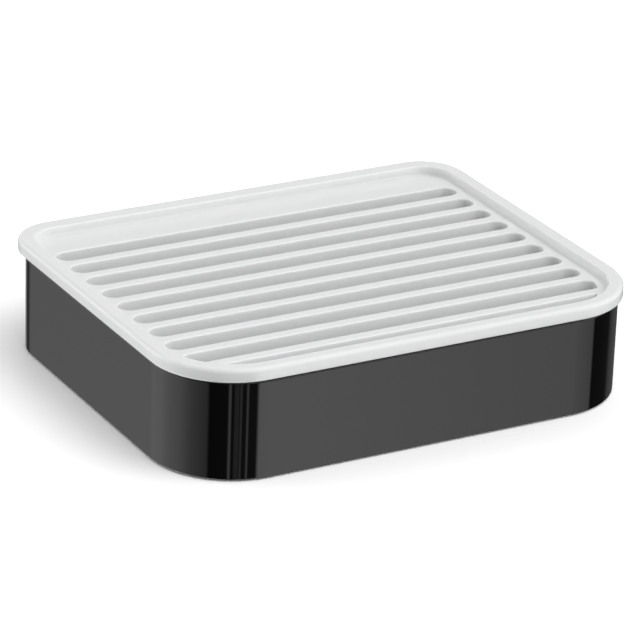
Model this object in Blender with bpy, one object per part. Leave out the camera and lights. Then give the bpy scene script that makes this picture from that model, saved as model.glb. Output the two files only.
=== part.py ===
"""Soap dish: a glossy box that catches water, a slotted drainer tray that drops into it, and
four non-slip pads under the base. Metres, +Z up, +X along the long side, -Y towards the user.
The origin is on the surface the dish stands on, under the middle of the tray's outline.
"""

import math

import bmesh
import bpy

# Drainer tray, outside
TRAY_LENGTH = 0.110
TRAY_DEPTH = 0.090
RIM_HEIGHT = 0.0029
RIM_FRONT_CORNER = 0.0177
RIM_BACK_CORNER = 0.0100
RIM_TOP_ROUND = 0.0010
RIM_LOWER_ROUND = 0.00025

# Drainer tray, the sunk bed that the soap lies in
RIM_SIDE_WIDTH = 0.0034
RIM_FRONT_WIDTH = 0.00305
RIM_BACK_WIDTH = 0.0043
RIM_INNER_ROUND = 0.00025
BED_DEPTH = 0.0020
BED_CORNER_ROUND = 0.0007
PLATE_THICKNESS = 0.0050
PLUG_LOWER_ROUND = 0.0005

# Drainer tray, the rows of slots
SLOT_WIDTH = 0.0049
SLOT_PITCH = 0.00746
SLOT_BORDER = 0.00215
BACK_LEDGE = 0.0093
SLOT_EDGE_ROUND = 0.0003

# Box
BOX_HEIGHT = 0.0216
RIM_OVERHANG = 0.0005
BOX_FRONT_CORNER = 0.0183
BOX_BACK_CORNER = 0.0130
BOX_WALL = 0.0020
BOX_FLOOR = 0.0024
BOX_FOOT_ROUND = 0.0003
BOX_MOUTH_ROUND = 0.0004
WELL_CORNER_ROUND = 0.0030

# Non-slip pads
PAD_DIAMETER = 0.0100
PAD_THICKNESS = 0.0010
PAD_STANDING_PROUD = 0.0004
PAD_EDGE_ROUND = 0.0002
PAD_CENTRE_INSET = 0.0150

# Fits
SEAT_GAP = 0.0003
PLUG_CLEARANCE = 0.00035
CUT_OVERRUN = 0.0010

# Smoothness, in steps
CORNER_STEPS = 10
SLOT_END_STEPS = 8
ROUND_STEPS = 3
PAD_STEPS = 32

QUARTER_TURN = math.pi / 2
SHARP_ANGLE = math.radians(40)

# Heights above the surface
BOX_FOOT_Z = PAD_STANDING_PROUD
BOX_MOUTH_Z = BOX_FOOT_Z + BOX_HEIGHT
RIM_UNDERSIDE_Z = BOX_MOUTH_Z + SEAT_GAP


class Outline:
    """A rectangle with round corners, seen from above, its back corners unlike its front ones."""

    def __init__(self, left, right, front, back, front_corner, back_corner):
        self.left = left
        self.right = right
        self.front = front
        self.back = back
        self.front_corner = front_corner
        self.back_corner = back_corner

    def inset(self, side, front=None, back=None):
        """The outline moved inwards, by one distance or by its own at the front and back."""
        front = side if front is None else front
        back = side if back is None else back
        return Outline(self.left + side, self.right - side, self.front + front, self.back - back,
                       self.front_corner - side, self.back_corner - side)

    def points(self):
        """The corner points of the outline's facets, anticlockwise from the right of the back."""
        corners = (
            (self.right, self.back, -1, -1, self.back_corner, 0),
            (self.left, self.back, 1, -1, self.back_corner, 1),
            (self.left, self.front, 1, 1, self.front_corner, 2),
            (self.right, self.front, -1, 1, self.front_corner, 3),
        )
        points = []
        for x, y, x_inwards, y_inwards, radius, quarter in corners:
            centre_x = x + x_inwards * radius
            centre_y = y + y_inwards * radius
            for step in range(CORNER_STEPS + 1):
                angle = QUARTER_TURN * (quarter + step / CORNER_STEPS)
                points.append((centre_x + radius * math.cos(angle), centre_y + radius * math.sin(angle)))
        return points


TRAY_OUTLINE = Outline(-TRAY_LENGTH / 2, TRAY_LENGTH / 2, -TRAY_DEPTH / 2, TRAY_DEPTH / 2,
                       RIM_FRONT_CORNER, RIM_BACK_CORNER)
BED_OUTLINE = TRAY_OUTLINE.inset(RIM_SIDE_WIDTH, RIM_FRONT_WIDTH, RIM_BACK_WIDTH)
BOX_OUTLINE = Outline(TRAY_OUTLINE.left + RIM_OVERHANG, TRAY_OUTLINE.right - RIM_OVERHANG,
                      TRAY_OUTLINE.front + RIM_OVERHANG, TRAY_OUTLINE.back - RIM_OVERHANG,
                      BOX_FRONT_CORNER, BOX_BACK_CORNER)
WELL_OUTLINE = BOX_OUTLINE.inset(BOX_WALL)
PLUG_OUTLINE = WELL_OUTLINE.inset(PLUG_CLEARANCE)


def quarter_round(radius):
    """Pairs (across, down) along a quarter circle, from level at the top to upright at the side."""
    pairs = []
    for step in range(ROUND_STEPS + 1):
        angle = QUARTER_TURN * step / ROUND_STEPS
        pairs.append((radius * (1 - math.sin(angle)), radius * (1 - math.cos(angle))))
    return pairs


def loft(name, rings):
    """A closed solid through rings of equally many points, with a flat face at each end."""
    shape = bmesh.new()
    loops = []
    for points, z in rings:
        loops.append([shape.verts.new((x, y, z)) for x, y in points])
    for lower, upper in zip(loops, loops[1:]):
        count = len(lower)
        for index in range(count):
            following = (index + 1) % count
            shape.faces.new((lower[index], lower[following], upper[following], upper[index]))
    shape.faces.new(reversed(loops[0]))
    shape.faces.new(loops[-1])
    bmesh.ops.recalc_face_normals(shape, faces=shape.faces)
    mesh = bpy.data.meshes.new(name)
    shape.to_mesh(mesh)
    shape.free()
    mesh.shade_smooth()
    mesh.set_sharp_from_angle(angle=SHARP_ANGLE)
    return mesh


def material(name, colour, roughness):
    """A plain plastic or rubber finish."""
    finish = bpy.data.materials.new(name)
    finish.use_nodes = True
    shader = finish.node_tree.nodes["Principled BSDF"]
    shader.inputs["Base Color"].default_value = (*colour, 1)
    shader.inputs["Roughness"].default_value = roughness
    shader.inputs["Metallic"].default_value = 0
    return finish


def black_gloss_plastic():
    return material("black_gloss_plastic", (0.012, 0.012, 0.013), 0.06)


def white_gloss_plastic():
    return material("white_gloss_plastic", (0.80, 0.81, 0.80), 0.18)


def black_rubber():
    return material("black_rubber", (0.020, 0.020, 0.020), 0.70)


def place(name, mesh, location=(0, 0, 0), finish=None):
    """An object in the scene, with its finish."""
    placed = bpy.data.objects.new(name, mesh)
    bpy.context.scene.collection.objects.link(placed)
    placed.location = location
    if finish:
        mesh.materials.append(finish)
    return placed


def make_cutter(name, mesh, location=(0, 0, 0)):
    """A shape that only cuts another one."""
    cutter = place(name, mesh, location)
    cutter.hide_render = True
    cutter.display_type = "WIRE"
    return cutter


def combine(target, tool, operation):
    """A live Boolean of one object with another."""
    boolean = target.modifiers.new(operation.lower() + "_" + tool.name, "BOOLEAN")
    boolean.solver = "EXACT"
    boolean.operation = operation
    boolean.object = tool


def box_mesh():
    """Up the outside from the foot, over the mouth and down the inside to the well's floor."""
    rings = []
    for across, down in quarter_round(BOX_FOOT_ROUND):
        rings.append((BOX_OUTLINE.inset(across).points(), BOX_FOOT_Z + down))
    mouth = quarter_round(BOX_MOUTH_ROUND)
    for across, down in reversed(mouth):
        rings.append((BOX_OUTLINE.inset(across).points(), BOX_MOUTH_Z - down))
    for across, down in mouth:
        rings.append((WELL_OUTLINE.inset(-across).points(), BOX_MOUTH_Z - down))
    well_floor_z = BOX_FOOT_Z + BOX_FLOOR
    for across, down in reversed(quarter_round(WELL_CORNER_ROUND)):
        rings.append((WELL_OUTLINE.inset(across).points(), well_floor_z + down))
    return loft("dish_box", rings)


def disc_points(radius):
    """The corner points of a round outline about its own centre."""
    full_turn = 4 * QUARTER_TURN
    angles = [full_turn * step / PAD_STEPS for step in range(PAD_STEPS)]
    return [(radius * math.cos(angle), radius * math.sin(angle)) for angle in angles]


def pad_mesh():
    """A disc with a rounded lower edge, standing on its own origin."""
    radius = PAD_DIAMETER / 2
    rings = []
    for across, down in quarter_round(PAD_EDGE_ROUND):
        rings.append((disc_points(radius - across), down))
    rings.append((disc_points(radius), PAD_THICKNESS))
    return loft("nonslip_pad", rings)


def pocket_mesh():
    """The round pocket that a pad is stuck into, cut up from below the box's foot."""
    radius = PAD_DIAMETER / 2 + SEAT_GAP
    points = disc_points(radius)
    return loft("pad_pocket", [(points, -CUT_OVERRUN), (points, PAD_THICKNESS + SEAT_GAP)])


def pad_places():
    """The name and place of each pad, one near each corner of the box."""
    sides = (("left", BOX_OUTLINE.left + PAD_CENTRE_INSET), ("right", BOX_OUTLINE.right - PAD_CENTRE_INSET))
    ends = (("front", BOX_OUTLINE.front + PAD_CENTRE_INSET), ("back", BOX_OUTLINE.back - PAD_CENTRE_INSET))
    return [(f"{end}_{side}", (x, y, 0)) for end, y in ends for side, x in sides]


def make_box_and_pads():
    """The box, with a pocket under each corner and a pad in each pocket."""
    box = place("dish_box", box_mesh(), finish=black_gloss_plastic())
    rubber = black_rubber()
    pocket = pocket_mesh()
    for corner, location in pad_places():
        combine(box, make_cutter("pocket_" + corner, pocket, location), "DIFFERENCE")
        pad = place("nonslip_pad_" + corner, pad_mesh(), location, rubber)
        pad.parent = box


def tray_mesh():
    """From the bed up its wall, over the rim, down the outside, under it and down the plug.

    Heights are above the rim's underside, where the tray's own origin is.
    """
    rim_top = RIM_HEIGHT
    bed = RIM_HEIGHT - BED_DEPTH
    rings = []
    for across, down in quarter_round(PLUG_LOWER_ROUND):
        rings.append((PLUG_OUTLINE.inset(across).points(), bed - PLATE_THICKNESS + down))
    rings.append((PLUG_OUTLINE.points(), 0))
    for across, down in quarter_round(RIM_LOWER_ROUND):
        rings.append((TRAY_OUTLINE.inset(across).points(), down))
    for across, down in reversed(quarter_round(RIM_TOP_ROUND)):
        rings.append((TRAY_OUTLINE.inset(across).points(), rim_top - down))
    for across, down in quarter_round(RIM_INNER_ROUND):
        rings.append((BED_OUTLINE.inset(-across).points(), rim_top - down))
    for across, down in reversed(quarter_round(BED_CORNER_ROUND)):
        rings.append((BED_OUTLINE.inset(across).points(), bed + down))
    return loft("drainer_tray", rings)


def slot_levels():
    """Pairs (outwards, height) down a slot, flared at both faces so that its edges come out round."""
    top = RIM_HEIGHT - BED_DEPTH
    bottom = top - PLATE_THICKNESS
    flare = quarter_round(SLOT_EDGE_ROUND)
    levels = [(SLOT_EDGE_ROUND, bottom - CUT_OVERRUN)]
    levels += [(across, bottom + down) for across, down in flare]
    levels += [(across, top - down) for across, down in reversed(flare)]
    levels.append((SLOT_EDGE_ROUND, top + CUT_OVERRUN))
    return levels


def slot_row_points(y, growth):
    """One slot's outline, with round ends, grown outwards by a small amount."""
    radius = SLOT_WIDTH / 2 + growth
    reach = BED_OUTLINE.right - SLOT_BORDER - SLOT_WIDTH / 2
    points = []
    for centre_x, first_quarter in ((reach, -1), (-reach, 1)):
        for step in range(SLOT_END_STEPS + 1):
            angle = QUARTER_TURN * (first_quarter + 2 * step / SLOT_END_STEPS)
            points.append((centre_x + radius * math.cos(angle), y + radius * math.sin(angle)))
    return points


def slot_rows():
    """The middle of each row of slots, from the ledge at the back to the last one at the front."""
    first = BED_OUTLINE.back - BACK_LEDGE - SLOT_WIDTH / 2
    last_possible = BED_OUTLINE.front + SLOT_BORDER
    count = int((first - last_possible) / SLOT_PITCH) + 1
    return [first - row * SLOT_PITCH for row in range(count)]


def make_tray():
    """The drainer tray: its slots stop at a border that follows the bed's outline round the corners."""
    location = (0, 0, RIM_UNDERSIDE_Z)
    tray = place("drainer_tray", tray_mesh(), location, white_gloss_plastic())
    field = BED_OUTLINE.inset(SLOT_BORDER)
    border = loft("slot_border", [(field.inset(-growth).points(), z) for growth, z in slot_levels()])
    border_cutter = make_cutter("slot_border", border, location)
    for row, y in enumerate(slot_rows(), start=1):
        slot = loft("slot", [(slot_row_points(y, growth), z) for growth, z in slot_levels()])
        slot_cutter = make_cutter(f"slot_{row}", slot, location)
        combine(slot_cutter, border_cutter, "INTERSECT")
        combine(tray, slot_cutter, "DIFFERENCE")


def main():
    for leftover in list(bpy.data.objects):
        bpy.data.objects.remove(leftover)
    make_box_and_pads()
    make_tray()


main()
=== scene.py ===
# %% [markdown]
# A soap dish in two colours. A black box with large round corners catches water, and a white drainer
# tray with ten long slots drops into it and hangs on the box's mouth by its rim. Four rubber pads keep
# it from sliding. This script dresses the measured model with finely made pieces in its exact place:
# every height and width below is read from that model or is a small named size of the real moulding.

import math

import bmesh
import bpy
from mathutils import Matrix, Vector


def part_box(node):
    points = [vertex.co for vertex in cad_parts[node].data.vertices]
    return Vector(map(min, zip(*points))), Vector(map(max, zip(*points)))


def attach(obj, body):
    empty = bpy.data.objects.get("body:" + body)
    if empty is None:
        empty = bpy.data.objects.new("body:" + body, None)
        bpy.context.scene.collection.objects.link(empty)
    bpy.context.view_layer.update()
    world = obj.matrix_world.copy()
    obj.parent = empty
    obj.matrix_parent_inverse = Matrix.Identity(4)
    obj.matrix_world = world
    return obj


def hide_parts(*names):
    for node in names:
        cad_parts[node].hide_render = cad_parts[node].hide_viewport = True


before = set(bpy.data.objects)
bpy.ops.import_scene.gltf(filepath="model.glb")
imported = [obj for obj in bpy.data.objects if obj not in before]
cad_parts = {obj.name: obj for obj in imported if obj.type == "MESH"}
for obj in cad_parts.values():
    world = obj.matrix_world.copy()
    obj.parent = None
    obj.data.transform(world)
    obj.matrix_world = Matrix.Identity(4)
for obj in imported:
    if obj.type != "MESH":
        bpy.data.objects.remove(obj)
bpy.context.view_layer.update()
tray_low, tray_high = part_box("drainer_tray")
box_low, box_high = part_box("dish_box")
pad_names = sorted(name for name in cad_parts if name.startswith("nonslip_pad_"))
print("tray", tray_low, tray_high)
print("box", box_low, box_high)

# %% [markdown]
# Injection mouldings have no knife edges: every corner is an arc, and so is every bend of a wall's
# section. One function serves both. It walks along a path of corners and rounds each by its own
# radius. It also leaves a point on the straight stretch right beside each arc. Smooth shading blends
# the directions of neighbouring faces, and that extra point keeps the blend out of the long flat faces,
# so a flat glossy wall mirrors its surroundings without a bend.

# %% Rounded paths
BESIDE_ARC = 0.00006


def rounded_path(corners, steps, closed=False):
    """Points along a path of (x, y, radius) corners, with each corner turned into an arc."""
    places = [Vector(corner[:2]) for corner in corners]
    count = len(corners)
    inner = range(count) if closed else range(1, count - 1)
    points = [] if closed else [places[0]]
    for index in inner:
        corner = places[index]
        backward = (places[index - 1] - corner).normalized()
        forward = (places[(index + 1) % count] - corner).normalized()
        half_angle = backward.angle(forward) / 2
        radius = corners[index][2]
        start = corner + backward * radius / math.tan(half_angle)
        end = corner + forward * radius / math.tan(half_angle)
        centre = corner + (backward + forward).normalized() * radius / math.sin(half_angle)
        turn = (start - centre).angle_signed(end - centre)
        points.append(start + backward * BESIDE_ARC)
        for step in range(steps + 1):
            points.append(centre + Matrix.Rotation(-turn * step / steps, 2) @ (start - centre))
        points.append(end + forward * BESIDE_ARC)
    return points if closed else points + [places[-1]]


# %% [markdown]
# Seen from above, the tray, its sunk bed and the box are rectangles with one radius at the two front
# corners and a smaller one at the back. Growing such an outline by a distance moves its four sides
# and lengthens its radii alike, so outlines of the same kind stay parallel round the corners too.

# %% Outlines seen from above
CORNER_STEPS = 40


class Outline:
    """A rectangle with round corners, seen from above."""

    def __init__(self, left, right, front, back, front_corner, back_corner):
        self.sides = (left, right, front, back)
        self.radii = (front_corner, back_corner)

    def grown(self, side, front=None, back=None):
        """The outline moved outwards, by one distance or by its own at the front and back."""
        left, right, low, high = self.sides
        front = side if front is None else front
        back = side if back is None else back
        radii = [radius + side for radius in self.radii]
        return Outline(left - side, right + side, low - front, high + back, *radii)

    def points(self):
        """The outline's points, anticlockwise."""
        left, right, front, back = self.sides
        front_corner, back_corner = self.radii
        corners = [(right, back, back_corner), (left, back, back_corner),
                   (left, front, front_corner), (right, front, front_corner)]
        return rounded_path(corners, CORNER_STEPS, closed=True)


RIM_CORNERS = (0.0177, 0.0100)
BOX_CORNERS = (0.0183, 0.0130)
RIM_WIDTH = {"side": 0.0034, "front": 0.00305, "back": 0.0043}
BOX_WALL = 0.0020
PLUG_CLEARANCE = 0.00035

rim_outline = Outline(tray_low.x, tray_high.x, tray_low.y, tray_high.y, *RIM_CORNERS)
bed_outline = rim_outline.grown(-RIM_WIDTH["side"], -RIM_WIDTH["front"], -RIM_WIDTH["back"])
box_outline = Outline(box_low.x, box_high.x, box_low.y, box_high.y, *BOX_CORNERS)
plug_outline = box_outline.grown(-BOX_WALL - PLUG_CLEARANCE)
print("bed", bed_outline.sides, bed_outline.radii)

# %% [markdown]
# Geometry Nodes do the work that follows a rule: they sweep a section along an outline, repeat the
# slots, and fill flat faces between outlines. A small helper keeps such a tree readable in a script:
# it adds named sizes to the tree's inputs, and a node with its settings and links in one call.

# %% Writing node trees


class Tree:
    """A Geometry Nodes tree under construction."""

    def __init__(self, name):
        self.group = bpy.data.node_groups.new(name, "GeometryNodeTree")
        self.group.is_modifier = True
        self.group.interface.new_socket("Geometry", in_out="INPUT", socket_type="NodeSocketGeometry")
        self.group.interface.new_socket("Geometry", in_out="OUTPUT", socket_type="NodeSocketGeometry")
        self.source = self.group.nodes.new("NodeGroupInput")
        self.result = self.group.nodes.new("NodeGroupOutput")
        self.values = {}
        self.shape = None

    def size(self, name, value, kind="Float"):
        """A named input of the tree, and the value that this piece gives it."""
        socket = self.group.interface.new_socket(name, in_out="INPUT", socket_type="NodeSocket" + kind)
        self.values[socket.identifier] = value
        return self.source.outputs[name]

    def node(self, kind, inputs=None, output=0, **settings):
        """A node; each input is a value or the socket that feeds it."""
        made = self.group.nodes.new(kind)
        for setting, value in settings.items():
            setattr(made, setting, value)
        for name, value in (inputs or {}).items():
            if isinstance(value, bpy.types.NodeSocket):
                self.group.links.new(value, made.inputs[name])
            else:
                made.inputs[name].default_value = value
        return made.outputs[output]

    def join(self, *parts):
        """Several geometries as one."""
        made = self.group.nodes.new("GeometryNodeJoinGeometry")
        for part in parts:
            self.group.links.new(part, made.inputs[0])
        return made.outputs[0]

    def math(self, operation, first, second=0.0):
        """Arithmetic on numbers."""
        return self.node("ShaderNodeMath", {0: first, 1: second}, operation=operation)

    def vector(self, operation, first, second):
        """Arithmetic on positions."""
        return self.node("ShaderNodeVectorMath", {0: first, 1: second}, operation=operation)


# %% [markdown]
# Three moves come back in every tree: filling a flat face, sweeping a section along a path, and
# handing the tree a path or a section drawn in this script. A face is filled between all the open
# edges that lie at its height, so slots and pockets in it need no more care. Paths and sections are
# objects of bare edges, which a tree turns into curves.

# %% Flat faces, sweeps and guides
LEVEL_TOLERANCE = 0.00002
# an open edge has one face beside it, a closed one has two
OPEN_EDGE_LIMIT = 1.5


def flat_face(tree, shell, level):
    """Fills between all the open edges of a shell that lie at one height."""
    height = tree.node("ShaderNodeSeparateXYZ", {0: tree.node("GeometryNodeInputPosition")}, "Z")
    away = tree.math("ABSOLUTE", tree.math("SUBTRACT", height, level))
    at_level = tree.math("LESS_THAN", away, LEVEL_TOLERANCE)
    faces_beside = tree.node("GeometryNodeInputMeshEdgeNeighbors")
    is_open = tree.math("LESS_THAN", faces_beside, OPEN_EDGE_LIMIT)
    chosen = tree.math("MULTIPLY", at_level, is_open)
    loops = tree.node("GeometryNodeMeshToCurve", {"Mesh": shell, "Selection": chosen})
    filled = tree.node("GeometryNodeFillCurve", {"Curve": loops})
    # a filled curve lies on the ground, so the face is lifted back to its height
    lift = tree.node("ShaderNodeCombineXYZ", {"Z": level})
    return tree.node("GeometryNodeTransform", {"Geometry": filled, "Translation": lift})


def swept(tree, path, section):
    """A section, drawn in an object as outward and downward, carried along a path seen from above."""
    upright = tree.node("GeometryNodeSetCurveNormal", {"Curve": path}, mode="Z_UP")
    drawn = tree.node("GeometryNodeObjectInfo", {"Object": section}, "Geometry")
    profile = tree.node("GeometryNodeMeshToCurve", {"Mesh": drawn})
    return tree.node("GeometryNodeCurveToMesh", {"Curve": upright, "Profile Curve": profile})


def wire(name, points, closed=False):
    """An object of bare edges through points: a path or a section for a tree."""
    count = len(points)
    mesh = bpy.data.meshes.new(name)
    edges = [(index, (index + 1) % count) for index in range(count if closed else count - 1)]
    mesh.from_pydata([(*point, 0) for point in points], edges, [])
    guide = bpy.data.objects.new(name, mesh)
    bpy.context.scene.collection.objects.link(guide)
    return guide


def section_wire(name, points):
    """A section in outward and upward sizes, drawn the way that a sweep reads it."""
    return wire(name, [(outward, -upward) for outward, upward in points])


# %% [markdown]
# Every piece ends the same way. A tree lives in a modifier, and what it makes could stay there, but a
# part that others will reuse is better a plain mesh. So the result is copied, doubled points are
# merged, and only then are the faces turned outwards, because that needs a closed skin. The object
# itself stays at the origin, and it rides on the body that it moves with.

# %% Finishing a piece
MERGE = 0.000001
CM3_IN_M3 = 1000000


def plain_mesh(host, tree, material):
    """The mesh that a tree makes of a host object, which is then removed with its guides."""
    modifier = host.modifiers.new("shape", "NODES")
    solid = tree.node("GeometryNodeRealizeInstances", {0: tree.shape})
    dressed = tree.node("GeometryNodeSetMaterial", {"Geometry": solid, "Material": material})
    tree.group.links.new(dressed, tree.result.inputs[0])
    modifier.node_group = tree.group
    for identifier, value in tree.values.items():
        modifier[identifier] = value
    graph = bpy.context.evaluated_depsgraph_get()
    mesh = bpy.data.meshes.new_from_object(host.evaluated_get(graph))
    guides = [value for value in tree.values.values() if isinstance(value, bpy.types.Object)]
    for guide in [host, *guides]:
        bpy.data.objects.remove(guide)
    return mesh


def finish_piece(name, mesh, body, node):
    """Closes and turns out a mesh, and puts it in the place of a node of the measured model."""
    skin = bmesh.new()
    skin.from_mesh(mesh)
    bmesh.ops.remove_doubles(skin, verts=skin.verts, dist=MERGE)
    bmesh.ops.recalc_face_normals(skin, faces=skin.faces)
    open_edges = sum(not edge.is_manifold for edge in skin.edges)
    volume = skin.calc_volume(signed=True)
    skin.to_mesh(mesh)
    skin.free()
    mesh.shade_smooth()
    mesh.name = name
    piece = bpy.data.objects.new(name, mesh)
    bpy.context.scene.collection.objects.link(piece)
    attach(piece, body)
    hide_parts(node)
    print(name, len(mesh.polygons), "faces,", open_edges, "open edges,", round(volume * CM3_IN_M3, 2), "cm3")


# %% [markdown]
# No real finish is quite even, so each one here wanders a little. A noise with grains of centimetres
# moves the colour and the shine, and one with grains under a millimetre is the skin that the mould
# leaves. They read Object coordinates, in metres, so the pattern keeps its real size on every piece.
# These helpers each add one or two nodes, and the finishes are put together from them.

# %% Noise, shades and relief
# the noise lies mostly between these two values
NOISE_LOW = 0.3
NOISE_HIGH = 0.7
# octaves of finer and finer noise in each grain
PATCH_DETAIL = 2
SKIN_DETAIL = 3
GRAIN_DETAIL = 4


def new_finish(name):
    """A new material, with its nodes and its links."""
    finish = bpy.data.materials.new(name)
    finish.use_nodes = True
    return finish, finish.node_tree.nodes, finish.node_tree.links


def noise(nodes, links, grain_size, detail):
    """A noise whose grains measure about grain_size on the piece."""
    place = nodes.new("ShaderNodeTexCoord")
    pattern = nodes.new("ShaderNodeTexNoise")
    pattern.inputs["Scale"].default_value = 1 / grain_size
    pattern.inputs["Detail"].default_value = detail
    links.new(place.outputs["Object"], pattern.inputs["Vector"])
    return pattern.outputs["Fac"]


def spread(nodes, links, pattern, low, high):
    """The pattern's values spread from low to high."""
    ranged = nodes.new("ShaderNodeMapRange")
    ranged.inputs["From Min"].default_value = NOISE_LOW
    ranged.inputs["From Max"].default_value = NOISE_HIGH
    ranged.inputs["To Min"].default_value = low
    ranged.inputs["To Max"].default_value = high
    links.new(pattern, ranged.inputs["Value"])
    return ranged.outputs["Result"]


def bump(nodes, links, pattern, height, strength, below=None):
    """The pattern as relief of a real height, on top of a coarser relief if there is one."""
    relief = nodes.new("ShaderNodeBump")
    relief.inputs["Strength"].default_value = strength
    relief.inputs["Distance"].default_value = height
    links.new(pattern, relief.inputs["Height"])
    if below:
        links.new(below, relief.inputs["Normal"])
    return relief.outputs["Normal"]


def tinted(nodes, links, pattern, first, second):
    """A colour that wanders between two close shades."""
    blend = nodes.new("ShaderNodeMix")
    blend.data_type = "RGBA"
    links.new(pattern, blend.inputs["Factor"])
    blend.inputs["A"].default_value = (*first, 1)
    blend.inputs["B"].default_value = (*second, 1)
    return blend.outputs["Result"]


# %% [markdown]
# The box is glossy black plastic, straight from a polished mould. Such a surface is nearly a mirror:
# it shows what stands around it, with a very slight waviness where the plastic shrank, a faint skin
# texture, and a shine that varies a little with handling. A pure mirror shader would be too strong,
# since plastic mirrors faintly head-on and strongly at a slant. The Principled shader does that by
# itself, and its colour is almost black, because nearly all that is seen of the box is what it mirrors.

# %% Black plastic
BLACK_SHADES = ((0.0026, 0.0026, 0.0028), (0.0034, 0.0034, 0.0036))
BLACK_ROUGHNESS = (0.025, 0.045)
BLACK_PATCH_SIZE = 0.022
BLACK_SKIN_SIZE = 0.0007
WAVE_HEIGHT = 0.00001
SKIN_HEIGHT = 0.000001
GLOSS_RELIEF = 0.2


def black_gloss():
    finish, nodes, links = new_finish("black_gloss_plastic")
    shader = nodes["Principled BSDF"]
    patchy = noise(nodes, links, BLACK_PATCH_SIZE, PATCH_DETAIL)
    skin = noise(nodes, links, BLACK_SKIN_SIZE, SKIN_DETAIL)
    links.new(tinted(nodes, links, patchy, *BLACK_SHADES), shader.inputs["Base Color"])
    links.new(spread(nodes, links, patchy, *BLACK_ROUGHNESS), shader.inputs["Roughness"])
    waves = bump(nodes, links, patchy, WAVE_HEIGHT, GLOSS_RELIEF)
    links.new(bump(nodes, links, skin, SKIN_HEIGHT, GLOSS_RELIEF, waves), shader.inputs["Normal"])
    return finish


box_finish = black_gloss()
print("box finish", box_finish.name)

# %% [markdown]
# The tray's plastic is white and slightly cloudy. Light goes in, wanders for about a millimetre and
# comes out beside where it went in, which softens thin edges and brightens the walls of the slots.
# Plain white paint would leave these walls grey. Subsurface scattering lets the light wander, and its
# scale is the real depth. The skin over it is nearly as glossy as the box's, so the same two noises
# serve, with a little more roughness.

# %% White plastic
WHITE_SHADES = ((0.870, 0.884, 0.881), (0.878, 0.890, 0.887))
WHITE_ROUGHNESS = (0.045, 0.07)
WHITE_PATCH_SIZE = 0.018
WHITE_SKIN_SIZE = 0.0006
CLOUDY_DEPTH = 0.0010
# red light wanders a little further than green and blue
CLOUDY_SPREAD = (1.0, 0.96, 0.94)


def white_gloss():
    finish, nodes, links = new_finish("white_gloss_plastic")
    shader = nodes["Principled BSDF"]
    patchy = noise(nodes, links, WHITE_PATCH_SIZE, PATCH_DETAIL)
    skin = noise(nodes, links, WHITE_SKIN_SIZE, SKIN_DETAIL)
    links.new(tinted(nodes, links, patchy, *WHITE_SHADES), shader.inputs["Base Color"])
    links.new(spread(nodes, links, patchy, *WHITE_ROUGHNESS), shader.inputs["Roughness"])
    shader.inputs["Subsurface Weight"].default_value = 1.0
    shader.inputs["Subsurface Radius"].default_value = CLOUDY_SPREAD
    shader.inputs["Subsurface Scale"].default_value = CLOUDY_DEPTH
    waves = bump(nodes, links, patchy, WAVE_HEIGHT, GLOSS_RELIEF)
    links.new(bump(nodes, links, skin, SKIN_HEIGHT, GLOSS_RELIEF, waves), shader.inputs["Normal"])
    return finish


tray_finish = white_gloss()
print("tray finish", tray_finish.name)

# %% [markdown]
# The pads are matt black rubber. A high roughness alone would look like flat paint, so one fine grain
# sets everything about them: the shade, the dull shine and a relief of a few hundredths of a
# millimetre.

# %% Black rubber
RUBBER_SHADES = ((0.016, 0.016, 0.016), (0.026, 0.026, 0.026))
RUBBER_ROUGHNESS = (0.62, 0.78)
RUBBER_GRAIN_SIZE = 0.0003
RUBBER_GRAIN_HEIGHT = 0.00003
RUBBER_RELIEF = 0.6


def black_rubber():
    finish, nodes, links = new_finish("black_rubber")
    shader = nodes["Principled BSDF"]
    grain = noise(nodes, links, RUBBER_GRAIN_SIZE, GRAIN_DETAIL)
    links.new(tinted(nodes, links, grain, *RUBBER_SHADES), shader.inputs["Base Color"])
    links.new(spread(nodes, links, grain, *RUBBER_ROUGHNESS), shader.inputs["Roughness"])
    links.new(bump(nodes, links, grain, RUBBER_GRAIN_HEIGHT, RUBBER_RELIEF), shader.inputs["Normal"])
    return finish


pad_finish = black_rubber()
print("pad finish", pad_finish.name)

# %% [markdown]
# The box could be a block that is hollowed and bevelled. But its wall has the same section all the way
# round, and a sweep of that section along the outline gives each edge its own exact round and leaves
# the flat walls whole. The section runs from the well's floor outwards, up the inside, over the mouth,
# down the outside and under the foot. Each pad sits in a round pocket under the box, and the pocket's
# wall has a section too.

# %% The box's sections
SECTION_STEPS = 8
BOX_FLOOR = 0.0024
WELL_CORNER_ROUND = 0.0030
BOX_MOUTH_ROUND = 0.0004
BOX_FOOT_ROUND = 0.0003
FLAT_MARGIN = 0.0004
POCKET_EDGE_ROUND = 0.00015


def box_section():
    """The wall's section: outwards from the box's outer face, upwards from the ground."""
    foot, mouth = box_low.z, box_high.z
    inside = -BOX_WALL
    return rounded_path([
        (inside - WELL_CORNER_ROUND - FLAT_MARGIN, foot + BOX_FLOOR, 0),
        (inside, foot + BOX_FLOOR, WELL_CORNER_ROUND),
        (inside, mouth, BOX_MOUTH_ROUND),
        (0, mouth, BOX_MOUTH_ROUND),
        (0, foot, BOX_FOOT_ROUND),
        (-BOX_FOOT_ROUND - FLAT_MARGIN, foot, 0),
    ], SECTION_STEPS)


def pocket_section(pocket_top):
    """A pocket's wall: outwards from its own radius, upwards from the ground."""
    foot = box_low.z
    return rounded_path([
        (POCKET_EDGE_ROUND + FLAT_MARGIN, foot, 0),
        (0, foot, POCKET_EDGE_ROUND),
        (0, pocket_top, POCKET_EDGE_ROUND),
        (-POCKET_EDGE_ROUND - FLAT_MARGIN, pocket_top, 0),
    ], SECTION_STEPS)


print("box wall section", len(box_section()), "points")

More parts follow.
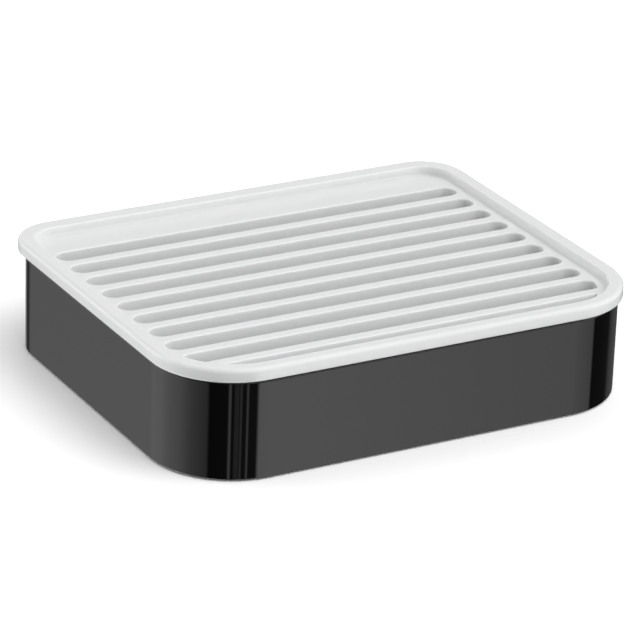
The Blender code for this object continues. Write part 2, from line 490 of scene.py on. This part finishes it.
# %% [markdown]
# The tree sweeps both sections. The pads' places come from the measured model, and the pockets stand
# on the points of a grid of two by two that has the pads' spacing. What is still open lies flat: the
# well's floor, the underside round the pockets, and the pockets' ceilings.

# %% The box
PAD_FIT = 0.0003
PAD_THICKNESS = 0.0010
POCKET_STEPS = 64


def box_tree():
    """Sweeps the wall and the pockets, and fills the flat faces between them."""
    pad_boxes = [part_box(name) for name in pad_names]
    centres = [(low + high) / 2 for low, high in pad_boxes]
    pad_radius = (pad_boxes[0][1].x - pad_boxes[0][0].x) / 2
    pocket_top = PAD_THICKNESS + PAD_FIT
    pocket_guide = section_wire("pocket_section", pocket_section(pocket_top))
    tree = Tree("swept_box")
    wall = tree.size("Wall Section", section_wire("box_section", box_section()), "Object")
    pocket = tree.size("Pocket Section", pocket_guide, "Object")
    across = tree.size("Pocket Spacing X", max(c.x for c in centres) - min(c.x for c in centres))
    along = tree.size("Pocket Spacing Y", max(c.y for c in centres) - min(c.y for c in centres))
    radius = tree.size("Pocket Radius", pad_radius + PAD_FIT)
    outline = tree.node("GeometryNodeMeshToCurve", {"Mesh": tree.source.outputs["Geometry"]})
    grid = tree.node("GeometryNodeMeshGrid",
                     {"Size X": across, "Size Y": along, "Vertices X": 2, "Vertices Y": 2})
    circle = tree.node("GeometryNodeCurvePrimitiveCircle", {"Resolution": POCKET_STEPS, "Radius": radius})
    rings = tree.node("GeometryNodeInstanceOnPoints", {"Points": grid, "Instance": circle})
    rings = tree.node("GeometryNodeRealizeInstances", {0: rings})
    shell = tree.join(swept(tree, outline, wall), swept(tree, rings, pocket))
    well_floor = flat_face(tree, shell, tree.size("Well Floor", box_low.z + BOX_FLOOR))
    underside = flat_face(tree, shell, tree.size("Underside", box_low.z))
    ceilings = flat_face(tree, shell, tree.size("Pocket Top", pocket_top))
    tree.shape = tree.join(shell, well_floor, underside, ceilings)
    return tree


box_host = wire("box_outline", box_outline.points(), closed=True)
box_mesh = plain_mesh(box_host, box_tree(), box_finish)
finish_piece("box_shell", box_mesh, "dish", "dish_box")

# %% [markdown]
# The tray's rim overhangs the box, and a shallow plug below it centres the tray in the box's mouth.
# Inside the rim the bed is sunk by 2 mm, so that the soap can't slide off. Three sections describe
# all that: the plug's wall, the rim's side and the bed's wall. Each is drawn from its own outline,
# and all their bends have the small rounds of a moulding.

# %% The tray's sections
RIM_HEIGHT = 0.0029
RIM_TOP_ROUND = 0.0010
RIM_LOWER_ROUND = 0.00025
RIM_INNER_ROUND = 0.00025
BED_DEPTH = 0.0020
BED_CORNER_ROUND = 0.0007
PLUG_LOWER_ROUND = 0.0005
PLUG_ROOT_ROUND = 0.0001

rim_top = tray_high.z
rim_under = rim_top - RIM_HEIGHT
bed_level = rim_top - BED_DEPTH
plate_under = tray_low.z

plug_section = rounded_path([
    (-PLUG_LOWER_ROUND - FLAT_MARGIN, plate_under, 0),
    (0, plate_under, PLUG_LOWER_ROUND),
    (0, rim_under, PLUG_ROOT_ROUND),
    (PLUG_ROOT_ROUND + FLAT_MARGIN, rim_under, 0),
], SECTION_STEPS)
side_section = rounded_path([
    (-RIM_LOWER_ROUND - FLAT_MARGIN, rim_under, 0),
    (0, rim_under, RIM_LOWER_ROUND),
    (0, rim_top, RIM_TOP_ROUND),
    (-RIM_TOP_ROUND - FLAT_MARGIN, rim_top, 0),
], SECTION_STEPS)
bed_section = rounded_path([
    (RIM_INNER_ROUND + FLAT_MARGIN, rim_top, 0),
    (0, rim_top, RIM_INNER_ROUND),
    (0, bed_level, BED_CORNER_ROUND),
    (-BED_CORNER_ROUND - FLAT_MARGIN, bed_level, 0),
], SECTION_STEPS)
print("underside", plate_under, "rim", rim_under, "to", rim_top, "bed", bed_level)

# %% [markdown]
# The rim is wider at the back than at its sides, so its outer and inner outlines aren't parallel and
# one sweep can't make it. Rings do: each is an outline at its own height, and faces join a ring to
# the next. From below they run up the plug, out under the rim, up its side, over the top, down the
# bed's wall and onto the bed, where the slotted plate takes over.

# %% The tray's shell


def rings_along(outline, section):
    """An outline's points at each (outward, upward) step of a section."""
    return [[(*point, upward) for point in outline.grown(outward).points()] for outward, upward in section]


def ring_skin(name, rings):
    """A mesh that joins each closed ring of points to the next."""
    count = len(rings[0])
    faces = []
    for level in range(len(rings) - 1):
        for index in range(count):
            following = (index + 1) % count
            lower, upper = level * count, (level + 1) * count
            faces.append((lower + index, lower + following, upper + following, upper + index))
    mesh = bpy.data.meshes.new(name)
    mesh.from_pydata([point for ring in rings for point in ring], [], faces)
    return mesh


tray_rings = rings_along(plug_outline, plug_section)
tray_rings += rings_along(rim_outline, side_section)
tray_rings += rings_along(bed_outline, bed_section)
tray_shell_mesh = ring_skin("tray_shell", tray_rings)
print("tray shell", len(tray_shell_mesh.polygons), "faces")

# %% [markdown]
# The plate in the bed has ten slots for the water. Their edges are rounded above and below, since a
# sharp one would cut the soap and wouldn't leave the mould. So a slot's wall is a section as well, a
# straight stretch between two small arcs.

# %% The wall of a slot
SLOT_EDGE_ROUND = 0.0003
SLOT_EDGE_STEPS = 5


def slot_section():
    """A slot's wall: outwards from the slot into the plate, upwards from the ground."""
    return rounded_path([
        (SLOT_EDGE_ROUND + BESIDE_ARC * 2, plate_under, 0),
        (0, plate_under, SLOT_EDGE_ROUND),
        (0, bed_level, SLOT_EDGE_ROUND),
        (SLOT_EDGE_ROUND + BESIDE_ARC * 2, bed_level, 0),
    ], SLOT_EDGE_STEPS)


print("slot wall section", len(slot_section()), "points")

# %% [markdown]
# The field of slots has round front corners of its own, which cut the ends of the last slots short.
# In the tree that is a rule for positions: a point outside the field is drawn back to its edge, though
# never past its own slot's straight side, so that each slot keeps its width.

# %% Trimming the slots to their field
SLOT_BORDER = 0.00215
FAR_AWAY = 1.0

slot_field = bed_outline.grown(-SLOT_BORDER)
print("field of slots", slot_field.sides, "front corners", slot_field.radii[0])


def kept_in_field(tree, reach, front, corner, slot_side):
    """Positions, drawn back to the edge of the field of slots wherever they lie outside it."""
    place = tree.node("GeometryNodeInputPosition")
    # the field is a smaller rectangle, its core, grown by the radius of the corners
    core_x = tree.math("SUBTRACT", reach, corner)
    core_y = tree.math("ADD", front, corner)
    low = tree.node("ShaderNodeCombineXYZ",
                    {"X": tree.math("MULTIPLY", core_x, -1.0), "Y": core_y, "Z": -FAR_AWAY})
    high = tree.node("ShaderNodeCombineXYZ", {"X": core_x, "Y": FAR_AWAY, "Z": FAR_AWAY})
    core = tree.vector("MINIMUM", tree.vector("MAXIMUM", place, low), high)
    # the spoke from the core to a point is cut to that radius where it is longer
    spoke = tree.vector("SUBTRACT", place, core)
    length = tree.node("ShaderNodeVectorMath", {0: spoke}, "Value", operation="LENGTH")
    share = tree.math("MINIMUM", tree.math("DIVIDE", corner, length), 1.0)
    drawn_in = tree.node("ShaderNodeVectorMath", {0: spoke, "Scale": share}, operation="SCALE")
    inside = tree.vector("ADD", core, drawn_in)
    x = tree.node("ShaderNodeSeparateXYZ", {0: inside}, "X")
    y = tree.math("MINIMUM", tree.node("ShaderNodeSeparateXYZ", {0: inside}, "Y"), slot_side)
    # the slot's side may have stopped a point short, and the arc there allows a little less width
    below_core = tree.math("MAXIMUM", tree.math("SUBTRACT", core_y, y), 0.0)
    arc = tree.math("SUBTRACT", tree.math("POWER", corner, 2.0), tree.math("POWER", below_core, 2.0))
    widest = tree.math("ADD", core_x, tree.math("SQRT", tree.math("MAXIMUM", arc, 0.0)))
    x = tree.math("MINIMUM", x, widest)
    x = tree.math("MAXIMUM", x, tree.math("MULTIPLY", widest, -1.0))
    return tree.node("ShaderNodeCombineXYZ", {"X": x, "Y": y})


def far_side_of_slot(tree, first_row, pitch, width):
    """For each position, the y of the far straight side of the slot that it belongs to."""
    y = tree.node("ShaderNodeSeparateXYZ", {0: tree.node("GeometryNodeInputPosition")}, "Y")
    row = tree.math("ROUND", tree.math("DIVIDE", tree.math("SUBTRACT", first_row, y), pitch))
    middle = tree.math("SUBTRACT", first_row, tree.math("MULTIPLY", row, pitch))
    return tree.math("ADD", middle, tree.math("MULTIPLY", width, 0.5))


# %% [markdown]
# Ten slots could be cut out of a plate with a Boolean, but the edges that it leaves are hard to round.
# Here the slots come first and the plate is filled round them. One slot outline is repeated down a
# line of points and trimmed. New points at even steps then take the place of those that the trimming
# crowded together. The section of the slot's wall is swept round each outline, and flat faces fill
# the rest of the bed and of its underside.

# %% The slotted plate
SLOT_ROWS = 10
SLOT_WIDTH = 0.0049
SLOT_PITCH = 0.00746
SLOT_END_STEPS = 10
SLOT_POINT_SPACING = 0.0005
BACK_LEDGE = 0.0093
# just under half the width, because two quarter rounds of a full half would leave no length between
END_RADIUS_SHARE = 0.4999


def plate_tree():
    """Repeats, trims and sweeps the slots, and fills the bed and the underside round them."""
    tree = Tree("slotted_plate")
    wall = tree.size("Slot Wall", section_wire("slot_section", slot_section()), "Object")
    rows = tree.size("Rows", SLOT_ROWS, "Int")
    width = tree.size("Slot Width", SLOT_WIDTH)
    pitch = tree.size("Slot Pitch", SLOT_PITCH)
    first_row = tree.size("First Row", bed_outline.sides[3] - BACK_LEDGE - SLOT_WIDTH / 2)
    reach = tree.size("Field Reach", slot_field.sides[1])
    front = tree.size("Field Front", slot_field.sides[2])
    corner = tree.size("Field Corner", slot_field.radii[0])
    shell = tree.source.outputs["Geometry"]

    # one slot with round ends
    length = tree.math("MULTIPLY", reach, 2.0)
    slot = tree.node("GeometryNodeCurvePrimitiveQuadrilateral", {"Width": length, "Height": width})
    end_radius = tree.math("MULTIPLY", width, END_RADIUS_SHARE)
    slot = tree.node("GeometryNodeFilletCurve",
                     {"Curve": slot, "Count": SLOT_END_STEPS, "Radius": end_radius}, mode="POLY")
    slot = tree.node("GeometryNodeResampleCurve",
                     {"Curve": slot, "Length": SLOT_POINT_SPACING}, mode="LENGTH")
    # a copy of it in each row, trimmed to the field
    start = tree.node("ShaderNodeCombineXYZ", {"Y": first_row})
    step = tree.node("ShaderNodeCombineXYZ", {"Y": tree.math("MULTIPLY", pitch, -1.0)})
    line = tree.node("GeometryNodeMeshLine", {"Count": rows, "Start Location": start, "Offset": step})
    slots = tree.node("GeometryNodeInstanceOnPoints", {"Points": line, "Instance": slot})
    slots = tree.node("GeometryNodeRealizeInstances", {0: slots})
    far_side = far_side_of_slot(tree, first_row, pitch, width)
    trimmed = kept_in_field(tree, reach, front, corner, far_side)
    slots = tree.node("GeometryNodeSetPosition", {"Geometry": slots, "Position": trimmed})
    slots = tree.node("GeometryNodeResampleCurve",
                      {"Curve": slots, "Length": SLOT_POINT_SPACING}, mode="LENGTH")

    # the walls of all slots join the rim, and what is still open is flat
    shell = tree.join(shell, swept(tree, slots, wall))
    bed = flat_face(tree, shell, tree.size("Bed Level", bed_level))
    underside = flat_face(tree, shell, tree.size("Plate Underside", plate_under))
    tree.shape = tree.join(shell, bed, underside)
    return tree


tray_host = bpy.data.objects.new("tray_shell", tray_shell_mesh)
bpy.context.scene.collection.objects.link(tray_host)
tray_mesh = plain_mesh(tray_host, plate_tree(), tray_finish)
finish_piece("slotted_tray", tray_mesh, "drainer", "drainer_tray")

# %% [markdown]
# A pad is a disc of soft rubber, stuck into its pocket. Its edges are rounded, as on pads moulded for
# bathroom ware, and it stands a little proud of the base so that it alone grips. A cylinder with a
# bevel would do, but the rings that made the tray's shell serve here again.

# %% The non-slip pads
PAD_EDGE_ROUND = 0.0002


def pad_mesh(name, low, high):
    """A disc between two corners of its box, from rings about its own centre."""
    centre = (low + high) / 2
    radius = (high.x - low.x) / 2
    section = rounded_path([
        (-PAD_EDGE_ROUND - FLAT_MARGIN, low.z, 0),
        (0, low.z, PAD_EDGE_ROUND),
        (0, high.z, PAD_EDGE_ROUND),
        (-PAD_EDGE_ROUND - FLAT_MARGIN, high.z, 0),
    ], SECTION_STEPS)
    turns = [2 * math.pi * step / POCKET_STEPS for step in range(POCKET_STEPS)]
    rings = []
    for outward, upward in section:
        rings.append([(centre.x + (radius + outward) * math.cos(turn),
                       centre.y + (radius + outward) * math.sin(turn), upward) for turn in turns])
    mesh = ring_skin(name, rings)
    disc = bmesh.new()
    disc.from_mesh(mesh)
    bmesh.ops.holes_fill(disc, edges=disc.edges)
    disc.to_mesh(mesh)
    disc.free()
    mesh.materials.append(pad_finish)
    return mesh


for node in pad_names:
    name = node.replace("nonslip_pad", "rubber_pad")
    finish_piece(name, pad_mesh(name, *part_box(node)), "dish", node)

# %% [markdown]
# A studio product shot stands on a seamless white table. Only the camera sees this one: lifted to
# white, with the dish's own soft shadow on it. The light that a real table throws back at the dish is
# part of the surround instead, as its lowest band, where it can be set beside all the other light. The
# table is clear from below, so that the pads and the box's underside can be looked at too.

# %% The floor
FLOOR_HALF = 3.0
FLOOR_ALBEDO = 0.86
FLOOR_TO_CAMERA = 1.40
BELOW_PADS = 0.00002


def floor_finish():
    """Pale paint, lifted to white for the camera, and clear from below."""
    finish, nodes, links = new_finish("white_table")
    nodes.remove(nodes["Principled BSDF"])
    path = nodes.new("ShaderNodeLightPath")
    paint = nodes.new("ShaderNodeBsdfDiffuse")
    shade = nodes.new("ShaderNodeMapRange")
    shade.inputs["To Min"].default_value = FLOOR_ALBEDO
    shade.inputs["To Max"].default_value = FLOOR_TO_CAMERA
    links.new(path.outputs["Is Camera Ray"], shade.inputs["Value"])
    links.new(shade.outputs["Result"], paint.inputs["Color"])
    clear = nodes.new("ShaderNodeBsdfTransparent")
    by_side = nodes.new("ShaderNodeMixShader")
    links.new(nodes.new("ShaderNodeNewGeometry").outputs["Backfacing"], by_side.inputs["Fac"])
    links.new(paint.outputs["BSDF"], by_side.inputs[1])
    links.new(clear.outputs["BSDF"], by_side.inputs[2])
    links.new(by_side.outputs["Shader"], nodes["Material Output"].inputs["Surface"])
    return finish


floor_mesh = bpy.data.meshes.new("table")
floor_corners = ((-1, -1), (1, -1), (1, 1), (-1, 1))
floor_mesh.from_pydata([(x * FLOOR_HALF, y * FLOOR_HALF, -BELOW_PADS) for x, y in floor_corners],
                       [], [(0, 1, 2, 3)])
floor_mesh.materials.append(floor_finish())
floor = bpy.data.objects.new("table", floor_mesh)
floor.visible_glossy = False
floor.visible_diffuse = False
floor.visible_shadow = False
bpy.context.scene.collection.objects.link(floor)
print("table", 2 * FLOOR_HALF, "m square")

# %% [markdown]
# Gloss shows what stands round the object, so the look of the black box is made by its surroundings.
# The studio here is a world of light written by direction. Each band is a colour ramp round the
# compass: soft boxes are its bright stretches, and the dark gaps between them are black cards. Between
# two bands the light blends. A ramp is read by azimuth, which starts at the back, passes the left side,
# the front and the right side, and ends at the back again. An upright wall seen from 23 degrees above
# mirrors only what lies about 23 degrees below the horizon, so the band there was drawn from the box's
# reflections. The other bands were set by the tones on the white tray: its flat faces, the walls of
# its slots, and the side of its rim all the way round.

# %% The light's levels
BRIGHTEST = 3.0
WALL_BAND = (-30, -15)
# heights over the horizon, from and to: levels at azimuths in degrees, from the front to the right
BANDS = {
    (-60, -60): [(-180, 1.80), (-150, 2.60), (-120, 2.40), (-105, 0.90), (-95, 0.00), (-25, 0.00),
                 (0, 0.60), (20, 1.30), (60, 1.10), (90, 0.40), (150, 0.40)],
    WALL_BAND: [(-180, 0.40), (-176, 0.03), (-167, 0.10), (-155, 0.60), (-146, 0.93), (-127, 1.31),
                (-96, 1.19), (-78, 0.71), (-57, 0.42), (-54, 0.02), (-10, 0.05), (7, 0.06), (11, 1.74),
                (29, 1.75), (35, 1.24), (60, 0.72), (63, 0.02), (96, 0.03), (106, 0.18), (126, 0.14),
                (145, 0.08), (160, 0.40)],
    (5, 5): [(-180, 0.81), (-160, 1.30), (-140, 2.50), (-120, 2.75), (-100, 1.50), (-85, 0.40),
             (-65, 0.00), (0, 0.00), (30, 0.13), (60, 1.28), (90, 0.75), (120, 0.30), (150, 0.65)],
    (35, 35): [(-180, 0.05), (-160, 0.00), (-154, 0.10), (-148, 1.60), (-120, 1.00), (-90, 0.25),
               (-60, 0.25), (-30, 0.95), (0, 1.85), (30, 2.35), (60, 2.15), (90, 0.67), (120, 0.30),
               (140, 0.46), (165, 0.46), (172, 0.05)],
    (65, 65): [(-180, 0.95), (-150, 0.70), (-120, 0.35), (-90, 0.12), (-60, 0.40), (-30, 1.00),
               (0, 1.80), (30, 2.45), (60, 2.20), (90, 1.35), (120, 0.90), (150, 1.05)],
    (90, 90): [(-180, 0.02)],
}
# thin lit edges of the stands in the dark gap, seen only in the gloss
EDGES = [(-180, 0), (-30, 0), (-27.5, 1.20), (-25.5, 0), (-22.5, 0), (-20.5, 0.35), (-19, 0.10),
         (-17.6, 0.40), (-15.4, 0), (-13.4, 0.60), (-11.4, 0), (-7, 0), (-4.9, 0.95), (-3, 0)]
print(len(BANDS), "bands of light")

# %% [markdown]
# A colour ramp turns a place between 0 and 1 into a level, which suits light that changes with the
# compass. A ramp holds values up to 1, so the levels are divided by the brightest one on their way in
# and multiplied again on their way out. A ramp's two ends have one level, because they are the same
# direction.

# %% Ramps round the compass


def blend_levels(nodes, links, share, low, high):
    """One level below another, as share goes from 0 to 1."""
    blend = nodes.new("ShaderNodeMix")
    links.new(share, blend.inputs["Factor"])
    links.new(low, blend.inputs["A"])
    links.new(high, blend.inputs["B"])
    return blend.outputs["Result"]


def compass_ramp(nodes, links, turn, stops):
    """A ramp of levels round the compass, closed where it starts."""
    band = nodes.new("ShaderNodeValToRGB")
    ramp = band.color_ramp
    for end in ramp.elements:
        end.color = (*[stops[0][1] / BRIGHTEST] * 3, 1)
    for azimuth, level in stops[1:]:
        ramp.elements.new((azimuth + 180) / 360).color = (*[level / BRIGHTEST] * 3, 1)
    links.new(turn, band.inputs["Fac"])
    return band.outputs["Color"]


# %% [markdown]
# Lamps and soft boxes could stand round the dish as objects. But for a thing as small as this only the
# direction that light comes from counts, and a world shader says that without anything to place. It
# gets the direction of each ray and turns it into an azimuth, which reads the ramps, and a height,
# which blends one band into the next. The camera sees plain white instead, as the empty background of
# the shot.

# %% The light


def studio():
    """The surround: bands of light by direction, and plain white for the camera."""
    world = bpy.data.worlds.new("studio")
    world.use_nodes = True
    nodes, links = world.node_tree.nodes, world.node_tree.links

    def math_node(operation, *values):
        made = nodes.new("ShaderNodeMath")
        made.operation = operation
        for index, value in enumerate(values):
            if isinstance(value, bpy.types.NodeSocket):
                links.new(value, made.inputs[index])
            else:
                made.inputs[index].default_value = value
        return made.outputs["Value"]

    # in a world shader, Generated is the direction of the ray
    direction = nodes.new("ShaderNodeTexCoord").outputs["Generated"]
    parts = nodes.new("ShaderNodeSeparateXYZ")
    links.new(direction, parts.inputs[0])
    azimuth = math_node("ARCTAN2", parts.outputs["X"], math_node("MULTIPLY", parts.outputs["Y"], -1.0))
    # from 0 at the back, by the left side, the front and the right side, to 1 at the back again
    turn = math_node("MULTIPLY_ADD", azimuth, 0.5 / math.pi, 0.5)
    # in degrees over the horizon
    height = math_node("MULTIPLY", math_node("ARCSINE", parts.outputs["Z"]), 180 / math.pi)
    level = None
    for (lower_end, upper_end), stops in BANDS.items():
        band = compass_ramp(nodes, links, turn, stops)
        if (lower_end, upper_end) == WALL_BAND:
            band = math_node("ADD", band, compass_ramp(nodes, links, turn, EDGES))
        if level is not None:
            share = nodes.new("ShaderNodeMapRange")
            share.inputs["From Min"].default_value = end_of_last
            share.inputs["From Max"].default_value = lower_end
            links.new(height, share.inputs["Value"])
            band = blend_levels(nodes, links, share.outputs["Result"], level, band)
        level = band
        end_of_last = upper_end
    path = nodes.new("ShaderNodeLightPath")
    lit = math_node("MULTIPLY", level, BRIGHTEST)
    white = nodes.new("ShaderNodeValue")
    white.outputs[0].default_value = 1.0
    seen = blend_levels(nodes, links, path.outputs["Is Camera Ray"], lit, white.outputs[0])
    nodes["Background"].inputs["Color"].default_value = (1, 1, 1, 1)
    links.new(seen, nodes["Background"].inputs["Strength"])
    bpy.context.scene.world = world


studio()
bpy.context.scene.view_settings.view_transform = "Standard"

# %% [markdown]
# The camera looks from the front left, a little over 23 degrees down, through a long lens from 83 cm
# away, so that far edges look only a little shorter than near ones. Its turn, height and lens were
# solved from the edges of the dish in the photograph, which is surer than moving it about by eye.

# %% The camera
CAMERA_AZIMUTH = math.radians(-29.5584)
CAMERA_ELEVATION = math.radians(23.1194)
CAMERA_ROLL = math.radians(2.0362)
CAMERA_DISTANCE = 0.83373
FOCAL_PIXELS = 3851.9
IMAGE_PIXELS = 640
SENSOR_MM = 36.0
FOOT_CENTRE_PIXEL = (321.206, 366.044)


def add_camera():
    """A camera that sees the middle of the box's foot at its pixel in the photograph."""
    azimuth, elevation = CAMERA_AZIMUTH, CAMERA_ELEVATION
    back = Vector((math.sin(azimuth) * math.cos(elevation), -math.cos(azimuth) * math.cos(elevation),
                   math.sin(elevation)))
    level_right = Vector((math.cos(azimuth), math.sin(azimuth), 0))
    level_up = back.cross(level_right)
    right = level_right * math.cos(CAMERA_ROLL) + level_up * math.sin(CAMERA_ROLL)
    up = level_up * math.cos(CAMERA_ROLL) - level_right * math.sin(CAMERA_ROLL)
    middle = IMAGE_PIXELS / 2
    across = (FOOT_CENTRE_PIXEL[0] - middle) / FOCAL_PIXELS * CAMERA_DISTANCE
    down = (FOOT_CENTRE_PIXEL[1] - middle) / FOCAL_PIXELS * CAMERA_DISTANCE
    foot_centre = Vector((0, 0, box_low.z))
    place = foot_centre + back * CAMERA_DISTANCE - right * across + up * down
    camera = bpy.data.objects.new("camera", bpy.data.cameras.new("camera"))
    camera.data.sensor_width = SENSOR_MM
    camera.data.lens = FOCAL_PIXELS / IMAGE_PIXELS * SENSOR_MM
    camera.matrix_world = Matrix.Translation(place) @ Matrix((right, up, back)).transposed().to_4x4()
    bpy.context.scene.collection.objects.link(camera)
    bpy.context.scene.camera = camera
    print("camera at", place, "lens", round(camera.data.lens, 2), "mm")


add_camera()
